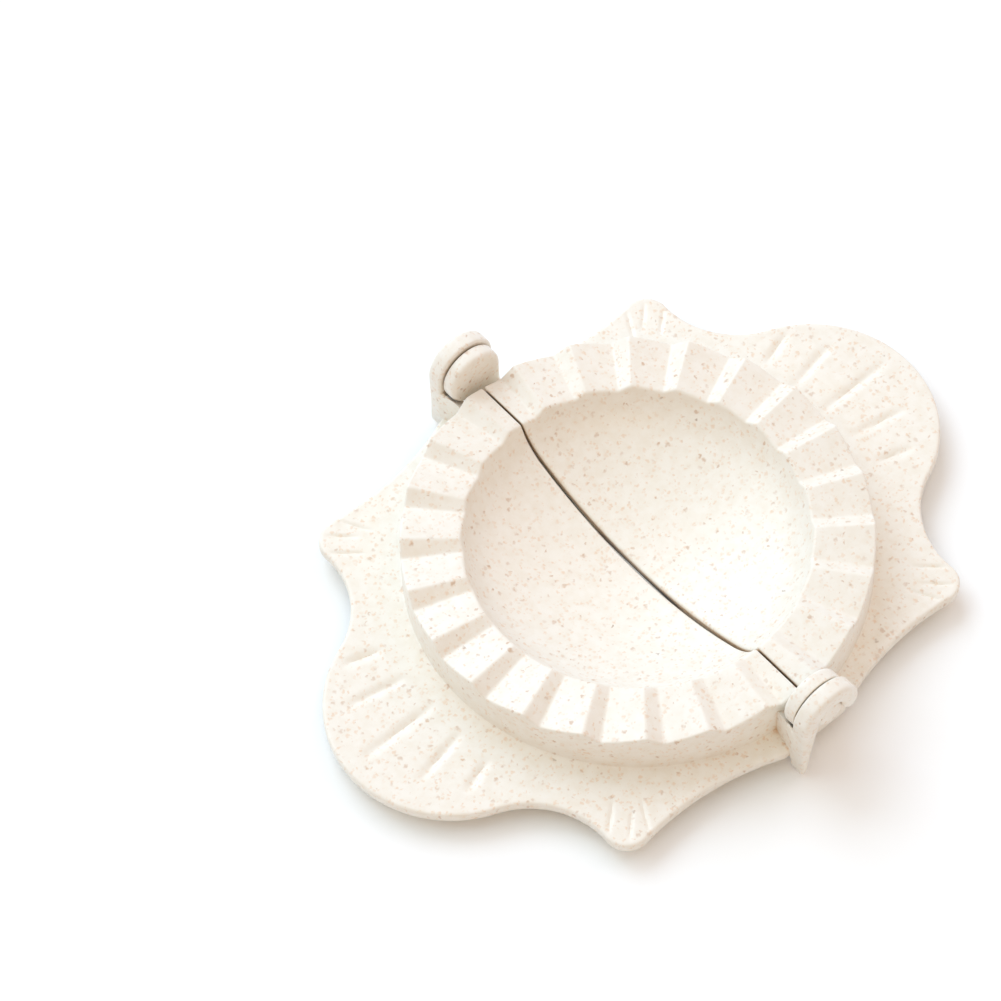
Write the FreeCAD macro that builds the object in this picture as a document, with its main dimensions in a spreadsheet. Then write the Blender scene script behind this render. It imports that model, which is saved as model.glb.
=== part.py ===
import FreeCAD, Part
import math
import os
import Sketcher
from FreeCAD import Placement, Rotation, Vector

# Dumpling press of two plastic mouldings that hinge on two snap pivots, lying open and flat.
# X runs along the hinge, Z is up, and the origin is on the table under the middle of the bowl.
# Both halves are drawn on the +Y side; the hook half is then turned half a turn about Z.

# Driving dimensions: lengths in millimetres, angles in degrees, and counts
SIZES = {
    "ring_diameter": 90.0,
    "bowl_diameter": 66.4,
    "bowl_depth": 12.5,
    "bowl_corner_radius": 11.0,
    "bowl_lip_angle": 70.5,
    "wall": 2.0,
    "foot_diameter": 20.0,
    "seam_gap": 0.4,
    "tooth_count": 24,
    "tooth_step_outer": 2.2,
    "tooth_step_inner": 1.0,
    "tooth_ramp_angle": 4.1,
    "flange_drop": 9.3,
    "flange_thickness": 2.2,
    "lobe_radius": 24.6,
    "lobe_margin": 1.0,
    "notch_radius": 18.0,
    "corner_radius": 4.7,
    "corner_margin": 11.7,
    "corner_angle": 43.6,
    "side_radius": 60.0,
    "side_out": 7.5,
    "vein_width": 3.2,
    "vein_depth": 0.8,
    "vein_shift": 1.6,
    "groove_width": 1.4,
    "axis_rise": 1.2,
    "disc_gap": 1.6,
    "disc_diameter": 12.2,
    "disc_thickness": 3.0,
    "web_drop": 4.5,
    "pin_diameter": 5.9,
    "pin_clearance": 0.06,
    "pin_recess": 0.4,
    "hook_gap": 0.4,
    "hook_thickness": 3.6,
    "hook_width": 3.8,
    "hook_tip_angle": 30.0,
    "stem_drop": 2.0,
    "stem_foot_width": 1.2,
    "gusset_thickness": 3.0,
    "gusset_slant": 1.6,
    "gusset_drop": 1.5,
    "overrun": 2.0,
}

# Grooves that fan out on the big lobe: root, middle and tip across and out from the fan's own middle,
# as shares of the lobe's radius
VEIN_SHARES = (
    ((-0.64, 0.15), (-0.69, 0.29), (-0.73, 0.43)),
    ((-0.33, 0.18), (-0.38, 0.40), (-0.42, 0.62)),
    ((0.00, 0.17), (0.00, 0.49), (0.00, 0.81)),
    ((0.33, 0.18), (0.38, 0.40), (0.42, 0.62)),
    ((0.64, 0.15), (0.69, 0.29), (0.73, 0.43)),
)

# Short grooves at the tip of each small lobe, as shares of the small lobe's corner radius
GROOVE_SHARES = (
    ((-1.05, -0.18), (-0.62, 0.30), (-0.20, 0.78)),
    ((-0.30, -0.52), (0.12, -0.08), (0.55, 0.36)),
    ((-0.41, -1.10), (0.18, -0.78), (0.78, -0.46)),
)


class Size:
    """A size from the sheet: its value now, and the formula that binds a feature to it."""

    def __init__(self, value, formula):
        self.value = value
        self.formula = formula

    def __add__(self, other):
        return Size(self.value + other.value, f"({self.formula} + {other.formula})")

    def __sub__(self, other):
        return Size(self.value - other.value, f"({self.formula} - {other.formula})")

    def __mul__(self, factor):
        if isinstance(factor, Size):
            return Size(self.value * factor.value, f"({self.formula} * {factor.formula})")
        return Size(self.value * factor, f"({self.formula} * ({factor}))")

    def __truediv__(self, divisor):
        if isinstance(divisor, Size):
            return Size(self.value / divisor.value, f"({self.formula} / {divisor.formula})")
        return Size(self.value / divisor, f"({self.formula} / {divisor})")

    def __neg__(self):
        return self * -1


def sine(angle):
    """The sine of a size in degrees, bound to it."""
    return Size(math.sin(math.radians(angle.value)), f"sin({angle.formula})")


def cosine(angle):
    """The cosine of a size in degrees, bound to it."""
    return Size(math.cos(math.radians(angle.value)), f"cos({angle.formula})")


doc = FreeCAD.newDocument("dumpling_press")


def fill_sheet():
    """Writes every driving dimension into the sheet under its own alias, and returns them by name."""
    sheet = doc.addObject("Spreadsheet::Sheet", "sizes")
    named = {}
    for row, (name, value) in enumerate(SIZES.items(), start=1):
        sheet.set(f"A{row}", name)
        sheet.set(f"B{row}", str(value))
        sheet.setAlias(f"B{row}", name)
        named[name] = Size(float(value), f"sizes.{name}")
    doc.recompute()
    return named


size = fill_sheet()

# Levels and radii that several features share, worked out from the sheet
ring_radius = size["ring_diameter"] / 2
bowl_radius = size["bowl_diameter"] / 2
foot_radius = size["foot_diameter"] / 2
seam = size["seam_gap"] / 2
rim = size["bowl_depth"] + size["wall"]
ring_top = rim + size["tooth_step_outer"] / 2
ring_under = rim - size["tooth_step_outer"] / 2 - size["wall"]
flange_top = rim - size["flange_drop"]
flange_bottom = flange_top - size["flange_thickness"]
axis = rim + size["axis_rise"]
disc_radius = size["disc_diameter"] / 2
disc_in = ring_radius + size["disc_gap"]
disc_out = disc_in + size["disc_thickness"]
hook_in = disc_out + size["hook_gap"]
hook_out = hook_in + size["hook_thickness"]
pin_radius = size["pin_diameter"] / 2
hook_bore = pin_radius + size["pin_clearance"]
hook_radius = hook_bore + size["hook_width"]
stem_foot = flange_bottom - size["stem_drop"]
room_radius = disc_radius + size["hook_gap"]
overrun = size["overrun"]

# The flange stands off the ring: its lobes by their margins, and its side edges flush with the discs
lobe_centre = ring_radius + size["lobe_margin"]
corner_reach = ring_radius + size["corner_margin"]
corner_across = corner_reach * cosine(size["corner_angle"])
corner_out = corner_reach * sine(size["corner_angle"])
side_across = disc_out

# The bowl's side reaches the rim at the lip angle, which sets the middle of its corner
bend_across = bowl_radius - size["bowl_corner_radius"] * sine(size["bowl_lip_angle"])
bend_height = rim + size["bowl_corner_radius"] * cosine(size["bowl_lip_angle"])


def plane(body, role):
    """The body's own origin plane or axis of that role."""
    return next(item for item in body.Origin.OriginFeatures if item.Role == role)


def meet(first, first_radius, second, second_radius, side):
    """Where two circles cross: side is +1 for the point to the left of the line between their centres."""
    across, along = second[0] - first[0], second[1] - first[1]
    span = math.hypot(across, along)
    reach = (first_radius ** 2 - second_radius ** 2 + span ** 2) / (2 * span)
    off = side * math.sqrt(first_radius ** 2 - reach ** 2)
    return (
        first[0] + (reach * across - off * along) / span,
        first[1] + (reach * along + off * across) / span,
    )


def towards(start, end, distance):
    """The point at a distance from start, on the line through end."""
    span = math.hypot(end[0] - start[0], end[1] - start[1])
    share = distance / span
    return (start[0] + (end[0] - start[0]) * share, start[1] + (end[1] - start[1]) * share)


class Drawing:
    """A sketch on one of a body's origin planes, with its points and radii bound to the sheet."""

    START, END, CENTRE = range(1, 4)
    ORIGIN, UPRIGHT = range(-1, -3, -1)

    def __init__(self, body, name, role, lift=None, turn=None):
        self.sketch = body.newObject("Sketcher::SketchObject", name)
        self.sketch.AttachmentSupport = (plane(body, role), [""])
        self.sketch.MapMode = "FlatFace"
        if lift is not None:
            self.sketch.AttachmentOffset = Placement(Vector(0, 0, lift.value), Rotation())
            self.sketch.setExpression("AttachmentOffset.Base.z", lift.formula)
        if turn is not None:
            self.sketch.AttachmentOffset = Placement(Vector(), Rotation(Vector(0, 1, 0), turn.value))
            self.sketch.setExpression("AttachmentOffset.Rotation.Angle", turn.formula)

    def line(self, start, end):
        segment = Part.LineSegment(Vector(start[0], start[1], 0), Vector(end[0], end[1], 0))
        return self.sketch.addGeometry(segment, False)

    def arc(self, centre, start, end):
        """An arc that runs anticlockwise from start to end."""
        first = math.atan2(start[1] - centre[1], start[0] - centre[0])
        last = math.atan2(end[1] - centre[1], end[0] - centre[0])
        if last < first:
            last += 2 * math.pi
        radius = math.hypot(start[0] - centre[0], start[1] - centre[1])
        circle = Part.Circle(Vector(centre[0], centre[1], 0), Vector(0, 0, 1), radius)
        return self.sketch.addGeometry(Part.ArcOfCircle(circle, first, last), False)

    def rule(self, kind, *terms):
        return self.sketch.addConstraint(Sketcher.Constraint(kind, *terms))

    def bind(self, kind, terms, amount):
        index = self.rule(kind, *terms, amount.value)
        self.sketch.setExpression(f"Constraints[{index}]", amount.formula)

    def join(self, first, first_end, second, second_end):
        self.rule("Coincident", first, first_end, second, second_end)

    def blend(self, first, first_end, second, second_end):
        self.rule("Tangent", first, first_end, second, second_end)

    def upright(self, item, end):
        self.rule("PointOnObject", item, end, self.UPRIGHT)

    def across(self, item, end, amount):
        self.bind("DistanceX", (self.ORIGIN, self.START, item, end), amount)

    def out(self, item, end, amount):
        self.bind("DistanceY", (self.ORIGIN, self.START, item, end), amount)

    def place(self, item, end, point):
        self.across(item, end, point[0])
        self.out(item, end, point[1])

    def radius(self, item, amount):
        self.bind("Radius", (item,), amount)

    def loop(self, corners):
        """A closed outline of straight sides through corners given as sizes."""
        spots = [(corner[0].value, corner[1].value) for corner in corners]
        sides = [self.line(spot, spots[(at + 1) % len(spots)]) for at, spot in enumerate(spots)]
        for at, side in enumerate(sides):
            self.join(side, self.END, sides[(at + 1) % len(sides)], self.START)
            self.place(side, self.START, corners[at])

    def circle(self, out, amount):
        """A circle on the upright axis."""
        shape = Part.Circle(Vector(0, out.value, 0), Vector(0, 0, 1), amount.value)
        item = self.sketch.addGeometry(shape, False)
        self.upright(item, self.CENTRE)
        self.out(item, self.CENTRE, out)
        self.radius(item, amount)


def pad(body, name, drawing, length):
    """Material raised from a drawing along its normal."""
    feature = body.newObject("PartDesign::Pad", name)
    feature.Profile = drawing.sketch
    feature.Length = length.value
    feature.setExpression("Length", length.formula)
    doc.recompute()
    return feature


def pocket(body, name, drawing, depth):
    """Material cut away below a drawing, against its normal."""
    before = body.Shape.Volume
    feature = body.newObject("PartDesign::Pocket", name)
    feature.Profile = drawing.sketch
    feature.Length = depth.value
    feature.setExpression("Length", depth.formula)
    doc.recompute()
    if body.Shape.Volume >= before:
        raise RuntimeError(name + " cuts nothing")
    return feature


def mirror(body, name, originals):
    """The same features again on the other side of the hinge line's middle."""
    feature = body.newObject("PartDesign::Mirrored", name)
    feature.Originals = originals
    feature.MirrorPlane = (plane(body, "YZ_Plane"), [""])
    body.Tip = feature
    doc.recompute()
    return feature


def shell_profile(body):
    """Section through bowl, ring and foot: a thin wall of even thickness, open below the ring.

    The floor is the arc about the bowl's axis that runs smoothly into the corner below the lip.
    """
    wall, corner_radius = size["wall"], size["bowl_corner_radius"]
    lip = (bowl_radius.value, rim.value)
    corner_centre = (bend_across.value, bend_height.value)
    drop = bend_height.value - wall.value
    floor_radius = (corner_centre[0] ** 2 + drop ** 2 - corner_radius.value ** 2) / (
        2 * (drop - corner_radius.value)
    )
    outer_radius = floor_radius + wall.value
    floor_centre = (0, outer_radius)
    inner_blend = towards(floor_centre, corner_centre, floor_radius)
    outer_blend = towards(floor_centre, corner_centre, outer_radius)
    cone_angle = 2 * math.atan(foot_radius.value / outer_radius)
    cone_end = (outer_radius * math.sin(cone_angle), outer_radius * (1 - math.cos(cone_angle)))
    rise = ring_under.value - corner_centre[1]
    shoulder_reach = math.sqrt((corner_radius.value + wall.value) ** 2 - rise ** 2)
    shoulder = (corner_centre[0] + shoulder_reach, ring_under.value)
    corners = (
        (bowl_radius, ring_top + overrun),
        (ring_radius, ring_top + overrun),
        (ring_radius, flange_bottom),
        (ring_radius - wall, flange_bottom),
        (ring_radius - wall, ring_under),
    )
    spots = [lip] + [(corner[0].value, corner[1].value) for corner in corners] + [shoulder]

    draw = Drawing(body, "shell_profile", "XZ_Plane")
    start, end, centre = draw.START, draw.END, draw.CENTRE
    bowl_floor = draw.arc(floor_centre, (0, wall.value), inner_blend)
    bowl_corner = draw.arc(corner_centre, inner_blend, lip)
    sides = [draw.line(spots[at], spots[at + 1]) for at in range(len(spots) - 1)]
    under_corner = draw.arc(corner_centre, outer_blend, shoulder)
    under_floor = draw.arc(floor_centre, cone_end, outer_blend)
    cone = draw.line((foot_radius.value, 0), cone_end)
    foot = draw.line((0, 0), (foot_radius.value, 0))
    middle = draw.line((0, 0), (0, wall.value))

    draw.upright(bowl_floor, centre)
    draw.upright(bowl_floor, start)
    draw.out(bowl_floor, start, wall)
    draw.blend(bowl_floor, end, bowl_corner, start)
    draw.place(bowl_corner, centre, (bend_across, bend_height))
    draw.place(bowl_corner, end, (bowl_radius, rim))
    draw.join(bowl_corner, end, sides[0], start)
    for at, corner in enumerate(corners):
        draw.place(sides[at], end, corner)
        draw.join(sides[at], end, sides[at + 1], start)
    draw.out(sides[-1], end, ring_under)
    draw.join(sides[-1], end, under_corner, end)
    draw.join(under_corner, centre, bowl_corner, centre)
    draw.radius(under_corner, corner_radius + wall)
    draw.join(under_floor, centre, bowl_floor, centre)
    draw.blend(under_floor, end, under_corner, start)
    draw.blend(cone, end, under_floor, start)
    draw.join(foot, end, cone, start)
    draw.rule("Coincident", foot, start, draw.ORIGIN, draw.START)
    draw.rule("Horizontal", foot)
    draw.across(foot, end, foot_radius)
    draw.join(middle, start, foot, start)
    draw.join(middle, end, bowl_floor, start)
    return draw


def add_shell(body):
    """Half of the bowl and ring, turned half a turn about the bowl's middle."""
    profile = shell_profile(body)
    doc.recompute()
    shell = body.newObject("PartDesign::Revolution", "shell")
    shell.Profile = profile.sketch
    shell.ReferenceAxis = (profile.sketch, ["V_Axis"])
    shell.Angle = 180
    doc.recompute()
    if body.Shape.BoundBox.YMax < ring_radius.value / 2:
        shell.Reversed = True
        doc.recompute()


def add_teeth(body):
    """Saw teeth round the ring: a pad rises all along its length, then a short ramp drops to the next one.

    Each tooth is cut between three radial sections, low, high and low, whose height grows outwards.
    Half a pitch lies between the seam and a ramp's middle, so the teeth of both halves mesh when it shuts.
    """
    pitch = Size(360.0, "360") / size["tooth_count"]
    half_turn = Size(180.0, "180")
    ramp = size["tooth_ramp_angle"]
    spread = (size["tooth_step_outer"] - size["tooth_step_inner"]) / 2 / (ring_radius - bowl_radius)
    inner_height = size["tooth_step_inner"] / 2 - spread * overrun
    outer_height = size["tooth_step_outer"] / 2 + spread * overrun
    inner, outer = bowl_radius - overrun, ring_radius + overrun
    top = ring_top + overrun * 2
    sections = (
        ("tooth_low", half_turn - pitch / 2 + ramp / 2, -1),
        ("tooth_high", half_turn + pitch / 2 - ramp / 2, 1),
        ("tooth_next", half_turn + pitch / 2 + ramp / 2, -1),
    )
    drawings = []
    for name, turn, sign in sections:
        draw = Drawing(body, name, "XZ_Plane", turn=turn)
        draw.loop((
            (inner, rim + inner_height * sign),
            (outer, rim + outer_height * sign),
            (outer, top),
            (inner, top),
        ))
        drawings.append(draw.sketch)
    doc.recompute()
    tooth = body.newObject("PartDesign::SubtractiveLoft", "tooth")
    tooth.Profile = drawings[0]
    tooth.Sections = drawings[1:]
    tooth.Ruled = True
    doc.recompute()
    teeth = body.newObject("PartDesign::PolarPattern", "teeth")
    teeth.Originals = [tooth]
    teeth.Axis = (plane(body, "Z_Axis"), [""])
    teeth.Reversed = True
    teeth.Angle = 180
    count = size["tooth_count"] / 2 + Size(1, "1")
    teeth.Occurrences = round(count.value)
    teeth.setExpression("Occurrences", count.formula)
    body.Tip = teeth
    doc.recompute()


def add_flange(body):
    """The lobed plate round the ring: one side of its outline, and the same again mirrored."""
    lobe_radius, notch_radius = size["lobe_radius"], size["notch_radius"]
    corner_radius, side_radius = size["corner_radius"], size["side_radius"]
    inner = ring_radius - size["wall"] / 2
    lobe = (0, lobe_centre.value)
    corner = (corner_across.value, corner_out.value)
    side_end = (side_across.value, size["side_out"].value)
    inner_end = (math.sqrt(inner.value ** 2 - seam.value ** 2), seam.value)
    notch = meet(
        lobe, lobe_radius.value + notch_radius.value, corner, corner_radius.value + notch_radius.value, 1
    )
    side = meet(side_end, side_radius.value, corner, side_radius.value + corner_radius.value, -1)
    side_blend = towards(corner, side, corner_radius.value)
    notch_blend = towards(corner, notch, corner_radius.value)
    lobe_blend = towards(lobe, notch, lobe_radius.value)
    crown = (0, lobe[1] + lobe_radius.value)

    draw = Drawing(body, "flange_outline", "XY_Plane", lift=flange_bottom)
    start, end, centre = draw.START, draw.END, draw.CENTRE
    seam_edge = draw.line(inner_end, (side_end[0], seam.value))
    hinge_edge = draw.line((side_end[0], seam.value), side_end)
    side_arc = draw.arc(side, side_blend, side_end)
    corner_arc = draw.arc(corner, side_blend, notch_blend)
    notch_arc = draw.arc(notch, lobe_blend, notch_blend)
    lobe_arc = draw.arc(lobe, lobe_blend, crown)
    middle = draw.line(crown, (0, inner.value))
    ring_arc = draw.arc((0, 0), inner_end, (0, inner.value))

    draw.join(seam_edge, end, hinge_edge, start)
    draw.place(seam_edge, end, (side_across, seam))
    draw.out(seam_edge, start, seam)
    draw.join(hinge_edge, end, side_arc, end)
    draw.place(hinge_edge, end, (side_across, size["side_out"]))
    draw.blend(side_arc, start, corner_arc, start)
    draw.radius(side_arc, side_radius)
    draw.place(corner_arc, centre, (corner_across, corner_out))
    draw.radius(corner_arc, corner_radius)
    draw.blend(corner_arc, end, notch_arc, end)
    draw.radius(notch_arc, notch_radius)
    draw.blend(notch_arc, start, lobe_arc, start)
    draw.upright(lobe_arc, centre)
    draw.out(lobe_arc, centre, lobe_centre)
    draw.radius(lobe_arc, lobe_radius)
    draw.upright(lobe_arc, end)
    draw.join(lobe_arc, end, middle, start)
    draw.upright(middle, end)
    draw.join(middle, end, ring_arc, end)
    draw.rule("Coincident", ring_arc, centre, draw.ORIGIN, draw.START)
    draw.radius(ring_arc, inner)
    draw.join(ring_arc, start, seam_edge, start)
    half = pad(body, "flange_side", draw, size["flange_thickness"])
    mirror(body, "flange", [half])


def groove_outline(shares, middle, reach, width):
    """A groove pointed at both ends: root, one flank, tip and the other flank."""
    root, waist, tip = [(middle[0] + reach * share[0], middle[1] + reach * share[1]) for share in shares]
    half = width / 2
    return root, (waist[0] + half, waist[1]), tip, (waist[0] - half, waist[1])


def add_grooves(body, shift):
    """Leaf-like grooves in the flange's top: a fan on the big lobe and a few on each small one."""
    veins = Drawing(body, "vein_outlines", "XY_Plane", lift=flange_top)
    fan = (shift, lobe_centre)
    for shares in VEIN_SHARES:
        veins.loop(groove_outline(shares, fan, size["lobe_radius"], size["vein_width"]))
    pocket(body, "veins", veins, size["vein_depth"])
    grooves = Drawing(body, "groove_outlines", "XY_Plane", lift=flange_top)
    corner = (corner_across, corner_out)
    for shares in GROOVE_SHARES:
        grooves.loop(groove_outline(shares, corner, size["corner_radius"], size["groove_width"]))
    cut = pocket(body, "corner_grooves", grooves, size["vein_depth"] / 2)
    mirror(body, "grooves", [cut])


def half_press(label, shift):
    """One half without its hinge: shell, teeth, flange, grooves and the clearance along the seam.

    The fan of grooves stands off the middle by shift, so that both fans lie over each other when it shuts.
    """
    body = doc.addObject("PartDesign::Body", label)
    body.Label = label
    add_shell(body)
    add_teeth(body)
    reach = ring_radius + overrun
    top = ring_top + overrun * 2
    strip = Drawing(body, "seam_strip", "XY_Plane", lift=top)
    strip.loop(((-reach, -overrun), (reach, -overrun), (reach, seam), (-reach, seam)))
    pocket(body, "seam", strip, top + overrun)
    add_flange(body)
    add_grooves(body, shift)
    return body


def add_gussets(body):
    """A wall from the ring to each hook that leaves room for the disc, with the flange cut back behind it."""
    thickness = size["gusset_thickness"]
    root, reach = ring_radius - size["wall"] / 2, hook_in + size["hook_thickness"] / 6
    root_out = hook_radius - size["gusset_slant"]
    relief_in = disc_in - size["hook_gap"]
    relief_out = root_out - thickness
    relief = Drawing(body, "relief_outline", "XY_Plane", lift=flange_top)
    relief.loop(((relief_in, -overrun), (hook_out, -overrun), (hook_out, relief_out), (relief_in, relief_out)))
    cut = pocket(body, "relief", relief, size["flange_thickness"] + overrun)
    mirror(body, "reliefs", [cut])

    wall = Drawing(body, "gusset_outline", "XY_Plane", lift=flange_bottom)
    wall.loop(((root, relief_out), (reach, hook_radius - thickness), (reach, hook_radius), (root, root_out)))
    wall_pad = pad(body, "gusset", wall, rim - size["gusset_drop"] - flange_bottom)
    mirror(body, "gussets", [wall_pad])
    room = Drawing(body, "disc_room_outline", "YZ_Plane", lift=hook_in)
    room.circle(axis, room_radius)
    room_cut = pocket(body, "disc_room", room, hook_in - ring_radius)
    mirror(body, "disc_rooms", [room_cut])


def add_hooks(body):
    """Two open hooks for the pivot pins, each on a stem that tapers down to a foot below the flange."""
    middle = (0, axis.value)
    turn = math.pi + math.radians(size["hook_tip_angle"].value)
    tip_outer = (hook_radius.value * math.cos(turn), axis.value + hook_radius.value * math.sin(turn))
    tip_inner = (hook_bore.value * math.cos(turn), axis.value + hook_bore.value * math.sin(turn))
    foot_in = hook_radius - size["stem_foot_width"]
    draw = Drawing(body, "hook_outline", "YZ_Plane", lift=hook_in)
    start, end, centre = draw.START, draw.END, draw.CENTRE
    back = draw.line((hook_radius.value, stem_foot.value), (hook_radius.value, axis.value))
    outer_arc = draw.arc(middle, (hook_radius.value, axis.value), tip_outer)
    tip = draw.line(tip_outer, tip_inner)
    inner_arc = draw.arc(middle, (hook_bore.value, axis.value), tip_inner)
    front = draw.line((hook_bore.value, axis.value), (foot_in.value, stem_foot.value))
    base = draw.line((foot_in.value, stem_foot.value), (hook_radius.value, stem_foot.value))
    draw.place(back, start, (hook_radius, stem_foot))
    draw.rule("Vertical", back)
    draw.blend(back, end, outer_arc, start)
    draw.upright(outer_arc, centre)
    draw.out(outer_arc, centre, axis)
    draw.join(outer_arc, end, tip, start)
    draw.rule("PointOnObject", outer_arc, centre, tip)
    index = draw.rule("Angle", tip, math.radians(size["hook_tip_angle"].value))
    draw.sketch.setExpression(f"Constraints[{index}]", size["hook_tip_angle"].formula)
    draw.join(tip, end, inner_arc, end)
    draw.join(inner_arc, centre, outer_arc, centre)
    draw.radius(inner_arc, hook_bore)
    draw.join(inner_arc, start, front, start)
    draw.out(front, start, axis)
    draw.join(front, end, base, start)
    draw.place(base, start, (foot_in, stem_foot))
    draw.join(base, end, back, start)
    hook_pad = pad(body, "hook", draw, size["hook_thickness"])
    mirror(body, "hooks", [hook_pad])


def add_pins(body):
    """Two round-topped tongues beside the ring, each on a web from its wall and with a pin on its far side."""
    web = Drawing(body, "web_outline", "YZ_Plane", lift=ring_radius - size["wall"])
    web_top = rim - size["web_drop"]
    web.loop(((seam, flange_bottom), (disc_radius, flange_bottom), (disc_radius, web_top), (seam, web_top)))
    web_pad = pad(body, "web", web, disc_out - ring_radius + size["wall"])
    tongue = Drawing(body, "tongue_outline", "YZ_Plane", lift=disc_in)
    tongue.loop(((seam, flange_bottom), (disc_radius, flange_bottom), (disc_radius, axis), (seam, axis)))
    tongue_pad = pad(body, "tongue", tongue, size["disc_thickness"])
    disc = Drawing(body, "disc_outline", "YZ_Plane", lift=disc_in)
    disc.circle(axis, disc_radius)
    disc_pad = pad(body, "disc", disc, size["disc_thickness"])
    pin = Drawing(body, "pin_outline", "YZ_Plane", lift=disc_out)
    pin.circle(axis, pin_radius)
    pin_pad = pad(body, "pin", pin, hook_out - disc_out - size["pin_recess"])
    mirror(body, "pins", [web_pad, tongue_pad, disc_pad, pin_pad])


hook_half = half_press("hook_half", size["vein_shift"])
add_gussets(hook_half)
add_hooks(hook_half)
hook_half.Placement = Placement(Vector(), Rotation(Vector(0, 0, 1), 180))

pin_half = half_press("pin_half", -size["vein_shift"])
add_pins(pin_half)
doc.recompute()

# Nothing is written until every feature has worked and both halves are whole
for item in doc.Objects:
    if "Invalid" in item.State or "Error" in item.State:
        raise RuntimeError(item.Name + " failed: " + ", ".join(item.State))
for half in (hook_half, pin_half):
    if half.Shape.isNull() or not half.Shape.isValid() or len(half.Shape.Solids) != 1:
        raise RuntimeError(half.Label + " is not one valid solid")

os.makedirs("parts", exist_ok=True)
for half in (hook_half, pin_half):
    half.Shape.exportStep(f"parts/{half.Label}.step")
    box = half.Shape.BoundBox
    print(half.Label, "volume", round(half.Shape.Volume), "mm3, box",
          [round(edge, 2) for edge in (box.XMin, box.XMax, box.YMin, box.YMax, box.ZMin, box.ZMax)])
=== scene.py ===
import math

import bpy
import numpy as np
from mathutils import Matrix, Vector


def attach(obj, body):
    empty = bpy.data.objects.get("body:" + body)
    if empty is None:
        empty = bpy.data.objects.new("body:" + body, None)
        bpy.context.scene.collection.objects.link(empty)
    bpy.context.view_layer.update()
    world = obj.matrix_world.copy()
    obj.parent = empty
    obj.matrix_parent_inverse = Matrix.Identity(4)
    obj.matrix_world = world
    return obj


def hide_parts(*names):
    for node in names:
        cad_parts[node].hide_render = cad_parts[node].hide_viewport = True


# A dumpling press of two speckled plastic mouldings, lying open on a white surface.
# Shapes are worked out in millimetres, on the +Y side, and go into the meshes in metres.
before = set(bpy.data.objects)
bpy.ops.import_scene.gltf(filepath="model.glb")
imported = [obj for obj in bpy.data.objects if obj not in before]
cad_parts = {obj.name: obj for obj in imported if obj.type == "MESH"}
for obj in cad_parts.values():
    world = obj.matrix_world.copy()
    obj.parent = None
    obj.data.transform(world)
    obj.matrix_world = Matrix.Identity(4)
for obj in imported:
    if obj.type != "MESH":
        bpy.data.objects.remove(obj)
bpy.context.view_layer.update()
MM = 0.001
UP = np.array((0.0, 0.0, 1.0))

# Levels and radii of the press, in millimetres
RIM = 14.5
WALL = 2.0
RING_RADIUS = 45.0
BOWL_RADIUS = 33.2
FLOOR_RADIUS = 63.97
BEND_RADIUS = 11.0
BEND_ACROSS = 22.83
BEND_HEIGHT = 18.17
BLEND_RADIUS = 27.6
RING_UNDER = 11.4
FOOT_RADIUS = 10.0
FLANGE_TOP = 5.2
FLANGE_BOTTOM = 3.0
AXIS = 15.7

# Teeth: angles in degrees, heights as half of the step from valley to crest
PITCH = 15.0
RAMP = 4.1
RAMP_AT = 7.5
TOOTH_SOFT = 0.5
TOOTH_INNER = 0.5
TOOTH_OUTER = 1.1

# How far each edge is rounded, and the share of the lip's rounding that lies in the bowl
LIP_EASE = 0.6
LIP_BOWL_SHARE = 0.36
RIM_EASE = 0.5
BASE_EASE = 0.3
EDGE_EASE = 0.7
UNDER_EASE = 0.4

# Seam: half of its gap, then how far its edge is rounded on the ring, on the bowl's floor and elsewhere,
# and how far below the rim the rounding starts to grow, and over what depth
SEAM = 0.2
SEAM_EASE = 0.4
SEAM_EASE_BOWL = 0.75
SEAM_EASE_REST = 0.12
SEAM_EASE_START = 1.0
SEAM_EASE_RUN = 5.0
POLE = np.array((0.0, SEAM, 0.0))

# Lean of the seam faces in degrees, and how far from the seam the shell follows it
SEAM_LEAN = 0.85
SEAM_FADE = 3.0

# Flange outline: centre and radius of each arc
LOBE = (0.0, 46.0)
LOBE_RADIUS = 24.6
CORNER = (41.06, 39.10)
CORNER_RADIUS = 4.7
NOTCH_RADIUS = 18.0
SIDE_RADIUS = 60.0
SIDE_END = (49.6, 7.5)

# Grooves in the flange: root and tip, as shares of the radius of the lobe that they lie on
VEIN_SHARES = (
    ((-0.64, 0.15), (-0.73, 0.43)),
    ((-0.33, 0.18), (-0.42, 0.62)),
    ((0.00, 0.17), (0.00, 0.81)),
    ((0.33, 0.18), (0.42, 0.62)),
    ((0.64, 0.15), (0.73, 0.43)),
)
NICK_SHARES = (
    ((-1.05, -0.18), (-0.20, 0.78)),
    ((-0.30, -0.52), (0.55, 0.36)),
    ((-0.41, -1.10), (0.78, -0.46)),
)
VEIN_HALF = 1.7
VEIN_DEPTH = 0.62
VEIN_SHIFT = 1.6
NICK_HALF = 0.8
NICK_DEPTH = 0.36
GROOVE_OVER = 0.1

# Columns beside the seam: how far past it they lie, and up to where they keep that at every radius
SEAM_LIFTS = (0.0, 0.02, 0.06, 0.12, 0.2, 0.3, 0.42, 0.6, 0.9)
SEAM_SIDE = 1.6

# The other columns, in degrees: even ones, those about each bend of the teeth and those over a small lobe,
# then the least turn between an even column and those, and between any two
COLUMN_FIRST = 2.4
COLUMN_END = 177.7
COLUMN_STEP = 0.48
TOOTH_TURNS = (-0.75, -0.5, -0.25, 0.0, 0.25, 0.5, 0.75)
CORNER_TURN = 6.5
CORNER_STEP = 0.24
EVEN_CLEAR = 0.2
LEAST_TURN = 0.09

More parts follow.
